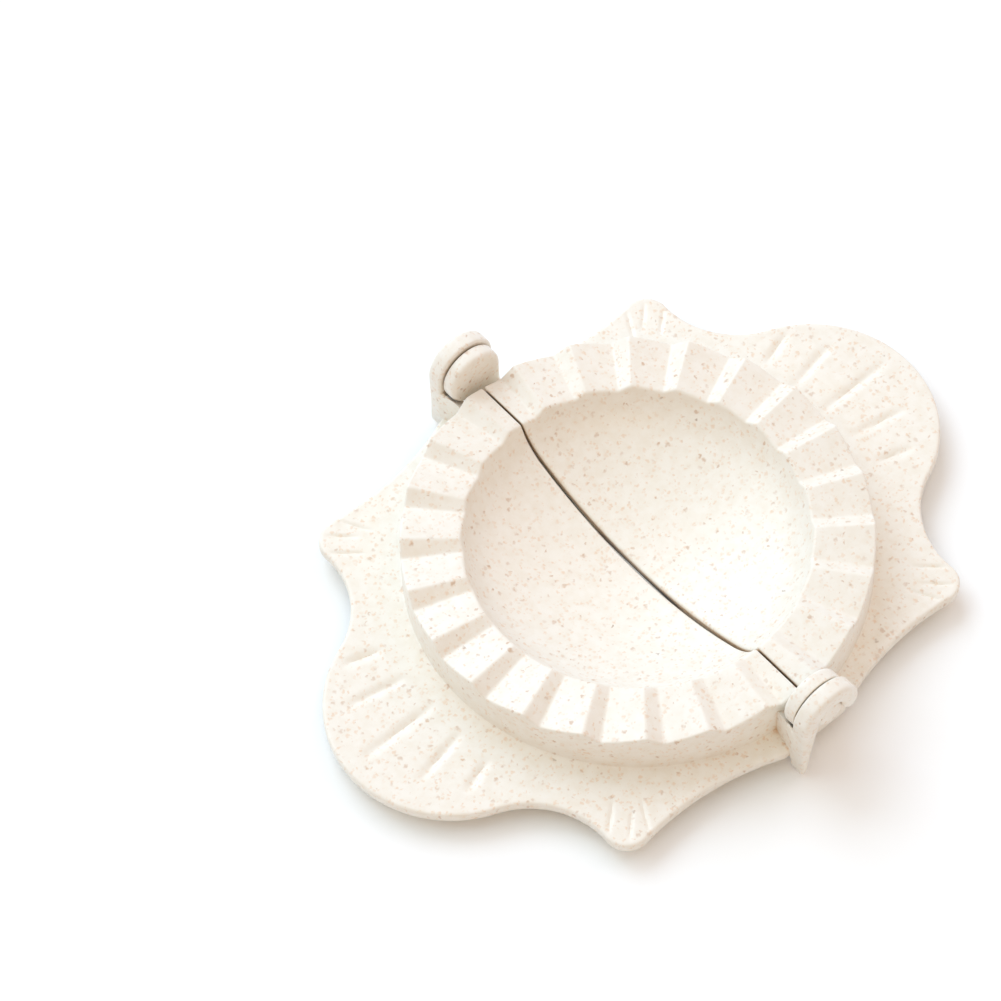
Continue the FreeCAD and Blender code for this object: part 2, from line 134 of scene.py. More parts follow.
# Rows of the shell on each stretch of a section, and where the first ones lie
POLE_REACHES = (0.0, 0.1, 0.25, 0.5, 1.0, 1.8)
BOWL_START_SHARE = 0.09
BOWL_ROWS = 26
LIP_ROWS = 6
PAD_ROWS = 7
RIM_ROWS = 7
WALL_ROWS = 5
BASE_ROWS = 5
FLANGE_ROWS = 44
EDGE_ROWS = 6
LOW_EDGE_ROWS = 4
FLANGE_UNDER_ROWS = 7
SKIRT_ROWS = 3
SHELF_ROWS = 3
FOOT_SHARES = (0.0, 0.05, 0.15)
FOOT_EDGE_SHARE = 0.296
BOWL_UNDER_ROWS = 16

# Hinge: how far pieces end inside the one that they run into
INSET = 0.1

# Tongues with pins, and the webs that tie them to the ring
DISC_IN = 46.6
DISC_OUT = 49.6
DISC_RADIUS = 6.1
DISC_FLAT = 2.0
DISC_RIM_STEP = 0.6
DISC_ROUND_IN = 1.1
DISC_ROUND_OUT = 0.3
DISC_BEND_POINTS = 7
DISC_COLUMNS = 72
PIN_END = 53.2
PIN_RADIUS = 2.95
PIN_ROUND = 0.9
PIN_FLAT = 1.2
PIN_FILLET = 0.3
PIN_FILLET_SHARES = ((0, 1), (1 / 3, 1 / 3), (1, 0))
HUB = 0.05
TONGUE_INSET = 0.05
WEB_INSET = 0.6
WEB_TOP = 10.0
WEB_EASE = 0.5
BLOCK_END_POINTS = 5
BLOCK_CORNER_POINTS = 6

# Open hooks: their sizes, the run and amount of the rounding at the foot and the tip, and the rows along them
HOOK_IN = 50.0
HOOK_OUT = 53.6
HOOK_BORE = 3.01
HOOK_RADIUS = 6.81
HOOK_TURN = 210.0
HOOK_EASES = (1.0, 0.9, 0.3, 0.6)
HOOK_CORNER_POINTS = 7
STEM_FOOT = 1.0
STEM_FOOT_WIDTH = 1.2
HOOK_FOOT_RUN = 0.8
HOOK_FOOT_DRAW = 0.3
HOOK_FOOT_THIN = 0.5
HOOK_TIP_RUN = 3.0
HOOK_TIP_INNER = 2.1
HOOK_TIP_OUTER = 0.7
HOOK_TIP_THIN = 0.6
STEM_LIFTS = (0.0, 0.08, 0.25, 0.5, 0.8)
STEM_FIRST = 2.0
STEM_SHORT = 0.4
STEM_ROWS = 9
HOOK_ROWS = 40
HOOK_TIP_TURNS = (22, 17, 12, 8, 5, 2, 0.6, 0)

# Gussets, with the shares of their height up the face and down the back
GUSSET_ROOT = 44.0
GUSSET_END = 50.6
GUSSET_SLANT = 1.6
GUSSET_THICK = 3.0
GUSSET_TOP = 13.0
GUSSET_ROWS = 14
GUSSET_TOP_POINTS = 9
GUSSET_FACE_SHARES = (0.0, 0.3, 0.7, 0.95)
GUSSET_BACK_SHARES = (0.5, 0.0)
ROOM_RADIUS = 6.5
RELIEF_IN = 46.2
RELIEF_OUT = 2.21
RELIEF_EASE = 0.25

# Meshes: the degrees past which an edge is sharp, the most of a section's half that is rounded,
# and a length that counts as zero
SHARP_ANGLE = 38
EASE_LIMIT_SHARE = 0.9
TINY = 1e-9

# Plastic: places on the noise and colours of its mottling, then the patterns, with scales per metre,
# and the skin's bumps and roughness
CREAM_STEPS = (
    (0.28, (0.868, 0.824, 0.728, 1)),
    (0.62, (0.905, 0.882, 0.810, 1)),
)
MOTTLE_SCALE = 420.0
MOTTLE_DETAIL = 3.0
MOTTLE_ROUGHNESS = 0.6
RAGGED_SCALE = 1300.0
RAGGED_DETAIL = 1.0
RAGGED_MIDDLE = (0.5, 0.5, 0.5)
RAGGED_REACH = 0.0011
GRAIN_SCALE = 1500.0
SWELL_SCALE = 260.0
SWELL_SHARE = 0.8
SKIN_DETAIL = 2.0
BUMP_STRENGTH = 0.07
BUMP_HEIGHT = 0.0002
ROUGH_LEAST = 0.32
ROUGH_MOST = 0.44

# Specks from fine to coarse: cell in metres, share of cells with a speck, size in cells, colour, strength
SPECKS = (
    (0.0009, 0.6, 0.42, (0.78, 0.56, 0.37, 1), 0.6),
    (0.0015, 0.45, 0.27, (0.52, 0.29, 0.14, 1), 0.65),
    (0.0036, 0.22, 0.09, (0.28, 0.14, 0.06, 1), 0.7),
)

# How specks differ: the least size and what is added to it, where the edge fades out and is full,
# and the least strength and what is added to it
SPECK_LEAST = 0.5
SPECK_MORE = 0.8
SPECK_EDGE = 1.3
SPECK_CORE = 0.3
SPECK_FAINT = 0.3
SPECK_STRONGER = 0.7

# Shade in narrow gaps: how wide a gap still takes it, the share of it on the hinge,
# and then how open a spot is with the shade that it takes there
SHADE_REACH = 1.8
SHADE_HINGE = 0.5
SHADE_STEPS = (
    (0.09, (0.05, 0.03, 0.02, 1)),
    (0.26, (0.82, 0.64, 0.47, 1)),
    (0.60, (1, 1, 1, 1)),
)

# Places of the colour sockets of a Mix node
MIX_FIRST, MIX_SECOND, MIX_RESULT = 6, 7, 2

# Lamps: bearing round from +X and height in degrees, energy and colour, then their spread in degrees,
# and the surround's colour as light and as it is seen
LAMPS = (
    ("key", 170, 40, 1.42, (0.68, 0.84, 1.0)),
    ("key_front", 216, 42, 0.70, (0.72, 0.92, 1.0)),
    ("fill_back", 90, 42, 0.37, (1.0, 0.82, 0.82)),
    ("fill_near", 332, 50, 0.41, (1.0, 0.67, 0.26)),
    ("top", 0, 90, 0.22, (0.45, 0.87, 1.0)),
)
LAMP_SPREAD = 44
SURROUND = (0.545, 0.460, 0.437, 1)
SURROUND_SEEN = (1, 1, 1, 1)

# Floor, in millimetres, with its colour as it reflects light and as the camera sees it
FLOOR_REACH = 4000.0
FLOOR_COLOUR = (0.955, 0.990, 1.0, 1)
FLOOR_SEEN = (1.0, 1.03, 1.04, 1)
FLOOR_ROUGHNESS = 0.9
FLOOR_SPECULAR = 0.1

# Camera: azimuth, elevation and roll in degrees, its distance and its aim's offsets in metres,
# its lens and sensor in millimetres, and its clip distances in metres
CAMERA_ANGLES = (52.1278, 57.4309, -3.2572)
CAMERA_DISTANCE = 0.73256
CAMERA_ALONG = -0.0254315
CAMERA_BEYOND = 0.0092395
CAMERA_LENS = 138.566
CAMERA_SENSOR = 36.0
CAMERA_CLIP = (0.01, 20.0)


def soft_step(across, width):
    """A ramp that is 0 below zero and rises by one per unit above it, with a parabola over the bend."""
    bend = (across + width) ** 2 / (4 * width)
    return np.where(across < -width, 0.0, np.where(across > width, across, bend))


def quarter_in(share):
    """How far a quarter circle draws an end in: 1 at the end, falling to 0 at a share of 1 of its run."""
    return 1 - np.sqrt(1 - np.clip(1 - share, 0, 1) ** 2)


def tooth_wave(angle):
    """Height of the saw teeth at an angle in degrees, from -1 in a valley to +1 on a crest.

    A pad rises evenly for the rest of each pitch, then a ramp drops back; both bends are parabolas.
    """
    across = (angle - RAMP_AT + PITCH / 2) % PITCH - PITCH / 2
    rise = 2 / (PITCH - RAMP)
    drop = -2 / RAMP
    first = soft_step(across + RAMP / 2, TOOTH_SOFT)
    last = soft_step(across - RAMP / 2, TOOTH_SOFT)
    return 1 + rise * (across + RAMP / 2) + (drop - rise) * (first - last)


def pad_height(radius, wave):
    """Level of the toothed face: the wave times a half step that grows evenly from bowl to ring."""
    share = (radius - BOWL_RADIUS) / (RING_RADIUS - BOWL_RADIUS)
    return RIM + (TOOTH_INNER + (TOOTH_OUTER - TOOTH_INNER) * share) * wave


def bowl_height(radius):
    """Level of the bowl: a wide arc about its axis that runs into the tighter arc below the lip."""
    floor = WALL + FLOOR_RADIUS - np.sqrt(FLOOR_RADIUS ** 2 - np.minimum(radius, BLEND_RADIUS) ** 2)
    across = np.clip(radius - BEND_ACROSS, 0, BEND_RADIUS)
    return np.where(radius < BLEND_RADIUS, floor, BEND_HEIGHT - np.sqrt(BEND_RADIUS ** 2 - across ** 2))


def under_height(radius):
    """Level under the bowl: the same arcs one wall further out, down to a cone and the flat foot."""
    outer = FLOOR_RADIUS + WALL
    blend = BEND_ACROSS + (BLEND_RADIUS - BEND_ACROSS) * (BEND_RADIUS + WALL) / BEND_RADIUS
    floor = outer - np.sqrt(outer ** 2 - np.minimum(radius, blend) ** 2)
    slope = math.tan(2 * math.atan(FOOT_RADIUS / outer))
    cone = (radius - FOOT_RADIUS) * slope
    floor = np.where(radius < outer * math.sin(math.atan(slope)), np.maximum(cone, 0), floor)
    across = np.clip(radius - BEND_ACROSS, 0, BEND_RADIUS + WALL)
    bend = BEND_HEIGHT - np.sqrt((BEND_RADIUS + WALL) ** 2 - across ** 2)
    return np.where(radius < blend, floor, np.minimum(bend, RING_UNDER))


def meet(first, first_radius, second, second_radius, side):
    """Where two circles cross, on the left of the line between their centres for side +1."""
    first, second = np.array(first), np.array(second)
    span = np.linalg.norm(second - first)
    along = (second - first) / span
    reach = (first_radius ** 2 - second_radius ** 2 + span ** 2) / (2 * span)
    off = side * math.sqrt(first_radius ** 2 - reach ** 2)
    return first + reach * along + off * np.array((-along[1], along[0]))


def flange_reach(angle):
    """Distance from the bowl's middle to the flange's edge, for angles in radians.

    Each ray meets the straight hinge edge, then the hollow side arc, the small lobe, the hollow notch
    or the big lobe: a hollow arc at its near crossing and a lobe at its far one.
    """
    lobe, corner = np.array(LOBE), np.array(CORNER)
    notch = meet(lobe, LOBE_RADIUS + NOTCH_RADIUS, corner, CORNER_RADIUS + NOTCH_RADIUS, 1)
    side = meet(SIDE_END, SIDE_RADIUS, corner, SIDE_RADIUS + CORNER_RADIUS, -1)
    side_blend = corner + (side - corner) * CORNER_RADIUS / (SIDE_RADIUS + CORNER_RADIUS)
    notch_blend = corner + (notch - corner) * CORNER_RADIUS / (NOTCH_RADIUS + CORNER_RADIUS)
    lobe_blend = lobe + (notch - lobe) * LOBE_RADIUS / (NOTCH_RADIUS + LOBE_RADIUS)
    turn = np.minimum(angle, np.pi - angle)
    ray = np.stack((np.cos(turn), np.sin(turn)), -1)

    def crossing(centre, radius, sign):
        along = ray @ centre
        return along + sign * np.sqrt(np.maximum(radius ** 2 - centre @ centre + along ** 2, 0))

    ends = [math.atan2(spot[1], spot[0]) for spot in (SIDE_END, side_blend, notch_blend, lobe_blend)]
    spans = [turn <= end for end in ends]
    reaches = [
        DISC_OUT / ray[..., 0],
        crossing(side, SIDE_RADIUS, -1),
        crossing(corner, CORNER_RADIUS, 1),
        crossing(notch, NOTCH_RADIUS, -1),
    ]
    return np.select(spans, reaches, crossing(lobe, LOBE_RADIUS, 1))


def groove_depth(across, out, ends, half, depth):
    """Depth of one pressed groove from root to tip: a V with soft shoulders that fades to both ends.

    Across the groove it follows (3 f^2 - f^3) / 2, where f falls from 1 on its middle line to 0 at its sides.
    """
    root, tip = ends
    span = np.linalg.norm(tip - root)
    along = (tip - root) / span
    share = ((across - root[0]) * along[0] + (out - root[1]) * along[1]) / span
    aside = np.abs((out - root[1]) * along[0] - (across - root[0]) * along[1])
    share = (share + GROOVE_OVER) / (1 + 2 * GROOVE_OVER)
    fade = np.clip(1 - (2 * share - 1) ** 2, 0, 1)
    flank = np.clip(1 - aside / half, 0, 1)
    return depth * fade * flank ** 2 * (3 - flank) / 2


def flange_height(across, out, shift):
    """Level of the flange's top: flat, less the veins on the big lobe and the nicks on the small ones."""
    depth = np.zeros_like(across)
    for shares in VEIN_SHARES:
        ends = np.array((LOBE[0] + shift, LOBE[1])) + LOBE_RADIUS * np.array(shares)
        depth = np.maximum(depth, groove_depth(across, out, ends, VEIN_HALF, VEIN_DEPTH))
    for shares in NICK_SHARES:
        ends = np.array(CORNER) + CORNER_RADIUS * np.array(shares)
        depth = np.maximum(depth, groove_depth(np.abs(across), out, ends, NICK_HALF, NICK_DEPTH))
    return FLANGE_TOP - depth


def spread_angles():
    """Angles in degrees of the columns away from the seam, closer at the teeth's bends and the small lobes."""
    even = np.arange(COLUMN_FIRST, COLUMN_END, COLUMN_STEP)
    ramps = np.arange(RAMP_AT, 180, PITCH)
    near = [ramps[:, None] + side * RAMP / 2 + TOOTH_TURNS for side in (-1, 1)]
    tip = math.degrees(math.atan2(CORNER[1], CORNER[0]))
    fine = np.arange(-CORNER_TURN, CORNER_TURN, CORNER_STEP)
    near += [tip + fine, 180 - tip + fine]
    near = np.sort(np.concatenate([part.ravel() for part in near]))
    gaps = np.abs(even[:, None] - near[None, :]).min(1)
    angles = np.unique(np.round(np.concatenate((even[gaps > EVEN_CLEAR], near)), 3))
    return angles[np.concatenate(([True], np.diff(angles) > LEAST_TURN))]


def column_turns():
    """Angles of all columns in radians: a few close to the seam at each end, and the spread ones between."""
    near = np.arcsin((SEAM + np.array(SEAM_LIFTS)) / RING_RADIUS)
    return np.concatenate((near, np.radians(spread_angles()), np.pi - near[::-1]))


def ring_points(turn, radius, level):
    """A point for each column at a radius and level; beside the seam a column keeps its distance to it."""
    ray = np.stack((np.cos(turn), np.sin(turn)), -1)
    radius = np.broadcast_to(np.asarray(radius, float), turn.shape)
    level = np.broadcast_to(np.asarray(level, float), turn.shape)
    out = np.clip(ray[:, 1] * RING_RADIUS, SEAM, None)
    held = np.sqrt(np.maximum(radius ** 2 - out ** 2, 0)) * np.sign(ray[:, 0])
    beside = (out < SEAM_SIDE)[:, None]
    spot = np.where(beside, np.stack((held, out), -1), ray * radius[:, None])
    return np.concatenate((spot, level[:, None]), -1)


def bend_rows(start, corner, end, count):
    """Rows of points on a curve from start to end, which leaves and arrives along the lines to corner."""
    share = np.linspace(0, 1, count)[:, None, None]
    return (1 - share) ** 2 * start + 2 * share * (1 - share) * corner + share ** 2 * end


def straight_rows(start, end, shares):
    """Rows of points on straight lines from start to end, at the given shares of the way."""
    shares = np.asarray(shares)[:, None, None]
    return start + (end - start) * shares


def between(count):
    """Shares of the way of a count of rows that lie evenly between two ends."""
    return np.linspace(0, 1, count + 2)[1:-1]


def face_rows(turn):
    """Rows over the bowl, its rounded lip, the teeth and the rounded rim; each column is a section."""
    wave = tooth_wave(np.degrees(turn))
    lip_level = RIM + TOOTH_INNER * wave
    lip_radius = BEND_ACROSS + np.sqrt(BEND_RADIUS ** 2 - (BEND_HEIGHT - lip_level) ** 2)
    lip_low = lip_radius - LIP_EASE * LIP_BOWL_SHARE
    pad_in = lip_radius + LIP_EASE
    pad_out = RING_RADIUS - RIM_EASE
    rim_level = pad_height(RING_RADIUS, wave)

    lip_start = ring_points(turn, lip_low, bowl_height(lip_low))
    lip = ring_points(turn, lip_radius, lip_level)
    pad_start = ring_points(turn, pad_in, pad_height(pad_in, wave))
    pad_end = ring_points(turn, pad_out, pad_height(pad_out, wave))
    rim = ring_points(turn, RING_RADIUS, rim_level)
    wall_top = ring_points(turn, RING_RADIUS, rim_level - RIM_EASE)

    spread = np.sin(np.linspace(BOWL_START_SHARE, 1, BOWL_ROWS) * np.pi / 2)
    reach = np.concatenate((np.array(POLE_REACHES) / BOWL_RADIUS, spread))
    bowl = straight_rows(POLE, lip_start * (1, 1, 0), reach)
    bowl[..., 2] = bowl_height(np.hypot(bowl[..., 0], bowl[..., 1]))
    return np.concatenate((
        bowl[:-1],
        bend_rows(lip_start, lip, pad_start, LIP_ROWS),
        straight_rows(pad_start, pad_end, between(PAD_ROWS)),
        bend_rows(pad_end, rim, wall_top, RIM_ROWS),
    ))


def flange_rows(turn, wall_top, shift, relieved):
    """Rows down the ring's wall, over the flange and round its edge.

    A relieved flange is cut back to a narrow ledge beside the seam, to make room for the tongues.
    """
    wall_low = ring_points(turn, RING_RADIUS, FLANGE_TOP + BASE_EASE)
    wall_foot = ring_points(turn, RING_RADIUS, FLANGE_TOP)
    base = ring_points(turn, RING_RADIUS + BASE_EASE, FLANGE_TOP)
    reach = flange_reach(turn)
    edge = ring_points(turn, reach, FLANGE_TOP)
    run = np.gradient(edge, axis=0)
    normal = np.stack((run[:, 1], -run[:, 0], np.zeros(len(run))), -1)
    normal /= np.linalg.norm(normal, axis=1, keepdims=True)
    ease = np.full((len(turn), 1), EDGE_EASE)
    if relieved:
        behind = np.abs(np.tan(turn)) < RELIEF_OUT / DISC_OUT
        ease[behind] = RELIEF_EASE
        edge = ring_points(turn, np.where(behind, RELIEF_IN / np.abs(np.cos(turn)), reach), FLANGE_TOP)

    inner_edge = edge - normal * ease
    inner_edge[:, 1] = np.where(edge[:, 1] < SEAM_SIDE, edge[:, 1], inner_edge[:, 1])
    top = straight_rows(base, inner_edge, between(FLANGE_ROWS))
    top[..., 2] = flange_height(top[..., 0], top[..., 1], shift)
    low_edge = edge - UP * (FLANGE_TOP - FLANGE_BOTTOM)
    under_edge = low_edge - normal * np.minimum(ease, UNDER_EASE)
    under_edge[:, 1] = inner_edge[:, 1]
    return np.concatenate((
        straight_rows(wall_top, wall_low, between(WALL_ROWS)),
        bend_rows(wall_low, wall_foot, base, BASE_ROWS),
        top,
        bend_rows(inner_edge, edge, edge - UP * ease, EDGE_ROWS),
        bend_rows(low_edge + UP * UNDER_EASE, low_edge, under_edge, LOW_EDGE_ROWS),
    ))


def under_rows(turn, under_edge):
    """Rows from the flange's edge under it, up inside the ring's wall and back under the bowl to the foot."""
    outward = np.stack((np.cos(turn), np.sin(turn), np.zeros(len(turn))), -1)
    skirt = ring_points(turn, RING_RADIUS - WALL, FLANGE_BOTTOM)
    skirt_out = skirt + outward * UNDER_EASE
    skirt_in = skirt + UP * UNDER_EASE
    skirt_top = ring_points(turn, RING_RADIUS - WALL, RING_UNDER)
    shoulder = BEND_ACROSS + math.sqrt((BEND_RADIUS + WALL) ** 2 - (BEND_HEIGHT - RING_UNDER) ** 2)
    shelf_end = ring_points(turn, shoulder, RING_UNDER)
    reach = np.concatenate((FOOT_SHARES, np.linspace(FOOT_EDGE_SHARE, 1, BOWL_UNDER_ROWS)))
    under = straight_rows(POLE, shelf_end * (1, 1, 0), reach)
    under[..., 2] = under_height(np.hypot(under[..., 0], under[..., 1]))
    return np.concatenate((
        straight_rows(under_edge, skirt_out, between(FLANGE_UNDER_ROWS)),
        bend_rows(skirt_out, skirt, skirt_in, LOW_EDGE_ROWS),
        straight_rows(skirt_in, skirt_top, between(SKIRT_ROWS)),
        skirt_top[None],
        straight_rows(skirt_top, shelf_end, between(SHELF_ROWS)),
        under[::-1],
    ))


def half_shell(shift, relieved):
    """Rows of points over a whole half: its face, its flange and its underside, with the seam worked in."""
    turn = column_turns()
    face = face_rows(turn)
    flange = flange_rows(turn, face[-1], shift, relieved)
    under = under_rows(turn, flange[-1])
    rows = np.concatenate((face, flange, under))
    return lean_seam(ease_seam(rows, len(face)))


def ease_seam(rows, faced):
    """Rounds the edge along the seam: points sink along the surface's normal as a quarter circle towards it.

    The quarter circle grows from the rim down to the floor of the bowl, and is small past the faced rows.
    """
    along = np.gradient(rows, axis=0)
    around = np.gradient(rows, axis=1)
    normal = np.cross(along, around)
    size = np.linalg.norm(normal, axis=-1, keepdims=True)
    normal = np.where(size > TINY, normal / np.maximum(size, TINY), 0)
    normal[0] = UP
    normal[-1] = -UP
    normal[..., 1] = 0
    depth = np.clip((RIM - SEAM_EASE_START - rows[..., 2:]) / SEAM_EASE_RUN, 0, 1)
    ease = SEAM_EASE + (SEAM_EASE_BOWL - SEAM_EASE) * depth
    ease[faced:] = SEAM_EASE_REST
    return rows - normal * ease * quarter_in((rows[..., 1:2] - SEAM) / ease)


def lean_seam(rows):
    """Leans the seam face back about the hinge axis: points shift by their depth, less with distance."""
    slope = math.tan(math.radians(SEAM_LEAN))
    near = np.clip(1 - (rows[..., 1] - SEAM) / SEAM_FADE, 0, 1)
    shift = slope * (AXIS - rows[..., 2]) * near
    return rows + shift[..., None] * (0, 1, 0)


def add_object(name, points, faces, flat=()):
    """A mesh object at the origin from points in millimetres; listed faces are flat, the rest smooth."""
    mesh = bpy.data.meshes.new(name)
    mesh.from_pydata(np.asarray(points, float) * MM, [], faces)
    smooth = np.ones(len(mesh.polygons), bool)
    smooth[list(flat)] = False
    mesh.polygons.foreach_set("use_smooth", smooth)
    mesh.set_sharp_from_angle(angle=math.radians(SHARP_ANGLE))
    piece = bpy.data.objects.new(name, mesh)
    bpy.context.scene.collection.objects.link(piece)
    return piece


def grid_faces(rows, columns, closed):
    """Four-sided faces of a grid of points, with the last column joined to the first one if it is closed."""
    spans = columns if closed else columns - 1
    row, column = np.meshgrid(np.arange(rows - 1), np.arange(spans), indexing="ij")
    after = (column + 1) % columns
    corners = (row * columns + column, (row + 1) * columns + column)
    corners += ((row + 1) * columns + after, row * columns + after)
    return np.stack(corners, -1).reshape(-1, 4)


def add_shell(name, shift, turned):
    """One half as a closed shell: its grid of rows, a fan at each pole and one flat face along the seam.

    The turned half lies on the -Y side, and is the one whose flange is relieved.
    """
    rows = half_shell(shift, turned)
    if turned:
        rows = rows * (-1, -1, 1)
    inner = rows[1:-1]
    count, columns = inner.shape[:2]
    points = np.concatenate((inner.reshape(-1, 3), rows[:1, 0], rows[-1:, 0]))
    top_pole, low_pole = count * columns, count * columns + 1
    at = np.arange(columns - 1)
    last = (count - 1) * columns
    top_fan = np.stack((np.full(columns - 1, top_pole), at, at + 1), -1)
    low_fan = np.stack((np.full(columns - 1, low_pole), last + at + 1, last + at), -1)
    side = np.arange(count) * columns
    seam_face = [low_pole, *side[::-1].tolist(), top_pole, *(side + columns - 1).tolist()]
    faces = grid_faces(count, columns, False).tolist() + top_fan.tolist() + low_fan.tolist()
    faces.append(seam_face)
    return add_object(name, points, faces, (len(faces) - 1,))


def rounded_section(half_across, half_up, eases, count):
    """Points round rectangles with rounded corners: four quarter circles, each with its own radius."""
    turn = np.concatenate([np.linspace(at, at + 1, count) for at in range(4)]) * np.pi / 2
    side = np.repeat(((1, 1), (-1, 1), (-1, -1), (1, -1)), count, 0)
    limit = EASE_LIMIT_SHARE * np.minimum(half_across, half_up)
    ease = np.minimum(np.repeat(eases, count), limit)
    across = side[:, 0] * (half_across - ease) + ease * np.cos(turn)
    up = side[:, 1] * (half_up - ease) + ease * np.sin(turn)
    return np.stack((across, up), -1)


def add_tube(name, rings):
    """A closed tube through rings of points, with a flat face over each end."""
    count, around = rings.shape[:2]
    faces = grid_faces(count, around, True).tolist()
    faces.append(np.arange(around)[::-1].tolist())
    faces.append((np.arange(around) + (count - 1) * around).tolist())
    return add_object(name, rings.reshape(-1, 3), faces, (len(faces) - 2, len(faces) - 1))


def add_hook(name, side):
    """An open hook: a rounded bar that widens from its foot to the hinge axis and bends round it to a tip.

    Its section goes up the stem and round the axis, and a quarter circle draws it in at the foot and the tip.
    """
    stem = np.linspace(STEM_FIRST, AXIS - STEM_FOOT - STEM_SHORT, STEM_ROWS)
    stem = np.concatenate((STEM_LIFTS, stem))
    bend = np.linspace(0, HOOK_TURN - HOOK_TIP_TURNS[0], HOOK_ROWS)
    bend = np.radians(np.concatenate((bend, HOOK_TURN - np.array(HOOK_TIP_TURNS[1:]))))
    lift = np.concatenate((STEM_FOOT + stem, np.full(len(bend), AXIS)))
    turn = np.concatenate((np.zeros(len(stem)), bend))
    run = lift - STEM_FOOT + (HOOK_BORE + HOOK_RADIUS) / 2 * turn
    foot = quarter_in(run / HOOK_FOOT_RUN)
    tip = quarter_in((run[-1] - run) / HOOK_TIP_RUN)
    taper = (AXIS - lift) / (AXIS - STEM_FOOT)
    inner = HOOK_BORE + (HOOK_RADIUS - STEM_FOOT_WIDTH - HOOK_BORE) * taper
    inner += HOOK_FOOT_DRAW * foot + HOOK_TIP_INNER * tip
    outer = HOOK_RADIUS - HOOK_FOOT_DRAW * foot - HOOK_TIP_OUTER * tip
    half = (HOOK_OUT - HOOK_IN) / 2 - HOOK_FOOT_THIN * foot - HOOK_TIP_THIN * tip
    offset = rounded_section((outer - inner)[:, None] / 2, half[:, None], HOOK_EASES, HOOK_CORNER_POINTS)
    reach = (inner + outer)[:, None] / 2 + offset[..., 0]
    out = reach * np.cos(turn)[:, None]
    up = lift[:, None] + reach * np.sin(turn)[:, None]
    across = side * ((HOOK_IN + HOOK_OUT) / 2 + offset[..., 1])
    rings = np.stack((across, out, up), -1) * (-1, -1, 1)
    return add_tube(name, rings[:, ::-1] if side < 0 else rings)


def add_gusset(name, side):
    """A slanting wall from the ring to a hook, whose top follows a circle round the hinge axis."""
    along = np.linspace(GUSSET_ROOT, GUSSET_END, GUSSET_ROWS)[:, None]
    face = HOOK_RADIUS - GUSSET_SLANT * (GUSSET_END - along) / (GUSSET_END - GUSSET_ROOT)
    at_face = np.zeros(len(GUSSET_FACE_SHARES))
    at_back = np.ones(len(GUSSET_BACK_SHARES))
    share = np.concatenate((at_face, np.linspace(0, 1, GUSSET_TOP_POINTS), at_back))
    height = np.concatenate((GUSSET_FACE_SHARES, np.ones(GUSSET_TOP_POINTS), GUSSET_BACK_SHARES))
    out = face - GUSSET_THICK * share
    room = AXIS - np.sqrt(np.maximum(ROOM_RADIUS ** 2 - out ** 2, 0))
    low = FLANGE_BOTTOM + INSET
    up = low + (np.minimum(room, GUSSET_TOP) - low) * height
    across = np.broadcast_to(side * along, out.shape)
    rings = np.stack((across, out, up), -1) * (-1, -1, 1)
    return add_tube(name, rings[:, ::-1] if side < 0 else rings)


def profile_bend(face, facing, radius, ease):
    """A quarter circle of a turned profile, from its rim to an end face that looks out (+1) or in (-1)."""
    turn = np.linspace(0, np.pi / 2, DISC_BEND_POINTS)
    return np.stack((face - facing * ease * (1 - np.sin(turn)), radius - ease * (1 - np.cos(turn))), -1)


def add_disc(name, side):
    """The round top of a tongue and its pivot pin: a rounded profile turned about the hinge axis."""
    profile = np.concatenate((
        ((DISC_IN, HUB), (DISC_IN, DISC_FLAT), (DISC_IN, DISC_RADIUS - DISC_ROUND_IN - DISC_RIM_STEP)),
        profile_bend(DISC_IN, -1, DISC_RADIUS, DISC_ROUND_IN)[::-1],
        profile_bend(DISC_OUT, 1, DISC_RADIUS, DISC_ROUND_OUT),
        np.array((DISC_OUT, PIN_RADIUS)) + PIN_FILLET * np.array(PIN_FILLET_SHARES),
        profile_bend(PIN_END, 1, PIN_RADIUS, PIN_ROUND),
        ((PIN_END, PIN_FLAT), (PIN_END, HUB)),
    ))
    turn = np.linspace(0, 2 * np.pi, DISC_COLUMNS, endpoint=False)
    across = np.broadcast_to(side * profile[:, :1], (len(profile), len(turn)))
    out = profile[:, 1:] * np.cos(turn)
    up = AXIS + profile[:, 1:] * np.sin(turn)
    rings = np.stack((across, out, up), -1)
    return add_tube(name, rings[:, ::-1] if side > 0 else rings)


def add_block(name, low, high, eases):
    """A block with rounded edges: a rounded outline carried up, with quarter circles at both ends."""
    low, high = np.array(low), np.array(high)
    half = (high - low) / 2
    bend = np.linspace(0, np.pi / 2, BLOCK_END_POINTS)
    inset = min(eases) * (1 - np.sin(bend))
    inset = np.concatenate((inset, inset[::-1]))[:, None]
    lift = min(eases) * (1 - np.cos(bend))
    lift = np.concatenate((lift - half[2], half[2] - lift[::-1]))[:, None]
    section = rounded_section(half[0] - inset, half[1] - inset, eases, BLOCK_CORNER_POINTS)
    up = np.broadcast_to(lift, section.shape[:2])
    rings = np.concatenate((section, up[..., None]), -1) + (low + high) / 2
    return add_tube(name, rings[:, ::-1])


def add_tongue(name, side):
    """The straight part of a tongue, up to the hinge axis: a block with edges rounded like the disc's."""
    near, far = sorted((side * (DISC_IN + TONGUE_INSET), side * (DISC_OUT - TONGUE_INSET)))
    eases = [DISC_ROUND_OUT] * 4
    eases[1 if side > 0 else 0] = DISC_ROUND_IN
    return add_block(name, (near, SEAM, FLANGE_BOTTOM + INSET), (far, DISC_RADIUS, AXIS), eases)


def add_web(name, side):
    """The web between a tongue and the ring: a rounded block that ends inside both."""
    near, far = sorted((side * (RING_RADIUS - WALL / 2), side * (DISC_OUT - WEB_INSET)))
    low = (near, SEAM + INSET, FLANGE_BOTTOM + 2 * INSET)
    high = (far, DISC_RADIUS - INSET, WEB_TOP)
    return add_block(name, low, high, [WEB_EASE] * 4)


